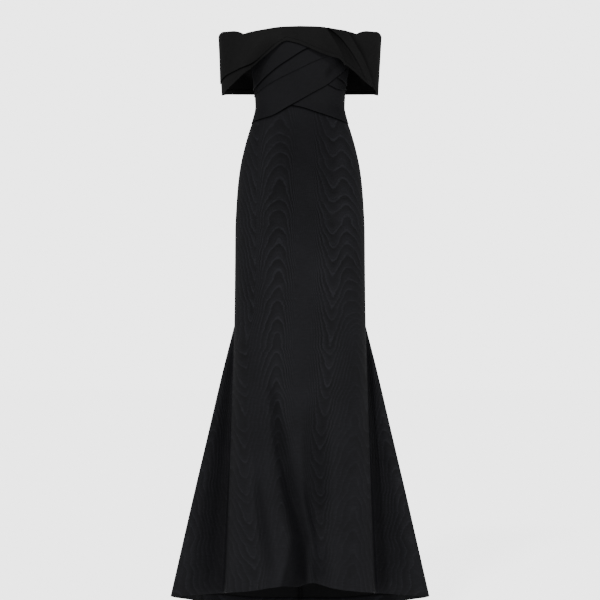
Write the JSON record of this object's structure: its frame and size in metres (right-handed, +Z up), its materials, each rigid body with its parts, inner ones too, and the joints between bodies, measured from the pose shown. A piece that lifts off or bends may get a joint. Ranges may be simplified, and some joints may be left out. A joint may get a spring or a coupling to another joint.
{
  "type": "trumpet gown",
  "caption": "Floor-length off-the-shoulder trumpet gown with a fold-over band, a crossed and pleated bodice and a moire skirt that flares into a short train.",
  "frame": {"origin": "centre of the waist, on the body's upright axis, where the gown is held by whoever wears it", "axes": "+Z up along the wearer, -Y towards the front, +X towards the wearer's left arm"},
  "size_m": [0.6804, 0.479, 1.5548],
  "materials": {
    "moire_faille": "black faille with a watered moire figure, soft sheen",
    "ribbed_faille": "black fine-ribbed faille, low sheen",
    "zip_tape": "black woven polyester tape"
  },
  "bodies": {
    "root": {"skirt_front": "moire_faille", "skirt_back_right": "moire_faille", "skirt_back_left": "moire_faille", "bodice_over": "ribbed_faille", "bodice_under": "ribbed_faille", "bodice_back_right": "ribbed_faille", "bodice_back_left": "ribbed_faille", "band_front": "ribbed_faille", "band_back_right": "ribbed_faille", "band_back_left": "ribbed_faille", "back_zip": "zip_tape"}
  },
  "joints": []
}
